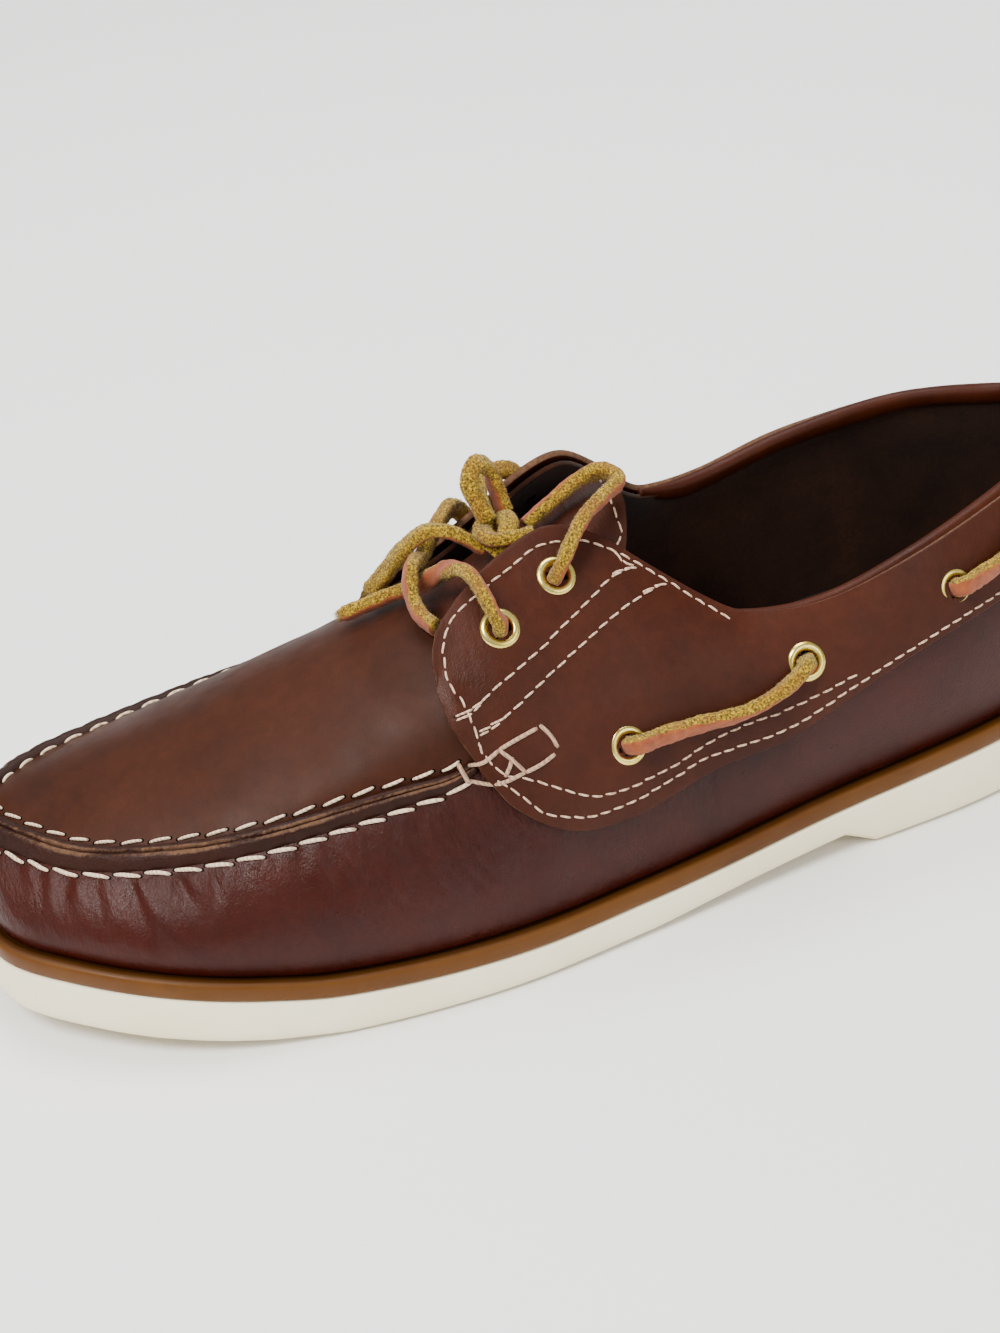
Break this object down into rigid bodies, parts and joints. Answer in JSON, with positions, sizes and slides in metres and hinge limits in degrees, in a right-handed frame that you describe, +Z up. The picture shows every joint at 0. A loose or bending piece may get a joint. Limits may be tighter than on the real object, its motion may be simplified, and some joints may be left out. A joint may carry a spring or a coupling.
{
  "type": "boat shoe",
  "caption": "Left leather boat shoe: moccasin-stitched upper on a stitched-down tan midsole and pale rubber outsole, with a rawhide lace through side and throat eyelets.",
  "frame": {"origin": "on the floor, under the middle of the shoe's box without its lace ends", "axes": "+Y from toe to heel, +Z up, +X to the outer (lateral) side of this left shoe"},
  "size_m": [0.1085, 0.3, 0.1052],
  "materials": {
    "outsole": "matte cream rubber, slightly yellowed",
    "midsole": "satin tan-brown welt band",
    "insole": "matte dark brown leather sock",
    "upper": "smooth oiled reddish-brown leather, soft gloss, fine creases",
    "tongue": "smooth reddish-brown leather, raw cut edge",
    "eyelet": "pale polished brass",
    "lace": "rawhide lace, orange grain side and fuzzy yellow-olive flesh side"
  },
  "bodies": {
    "root": {"outsole": "outsole", "midsole": "midsole", "insole": "insole", "upper": "upper", "tongue": "tongue", "lace_crossing": "lace", "eyelet_lateral_throat_rear": "eyelet", "eyelet_lateral_throat_front": "eyelet", "eyelet_lateral_side_1": "eyelet", "eyelet_lateral_side_2": "eyelet", "eyelet_lateral_side_3": "eyelet", "eyelet_lateral_side_4": "eyelet", "eyelet_medial_throat_rear": "eyelet", "eyelet_medial_throat_front": "eyelet", "eyelet_medial_side_1": "eyelet", "eyelet_medial_side_2": "eyelet", "eyelet_medial_side_3": "eyelet", "eyelet_medial_side_4": "eyelet", "lace_bar_lateral_front": "lace", "lace_bar_lateral_rear": "lace", "lace_bar_medial_front": "lace", "lace_bar_medial_rear": "lace", "lace_knot": "lace", "lace_loop_large": "lace", "lace_loop_small": "lace", "lace_end_arched": "lace", "lace_end_low": "lace", "lace_strand_medial": "lace"}
  },
  "joints": []
}
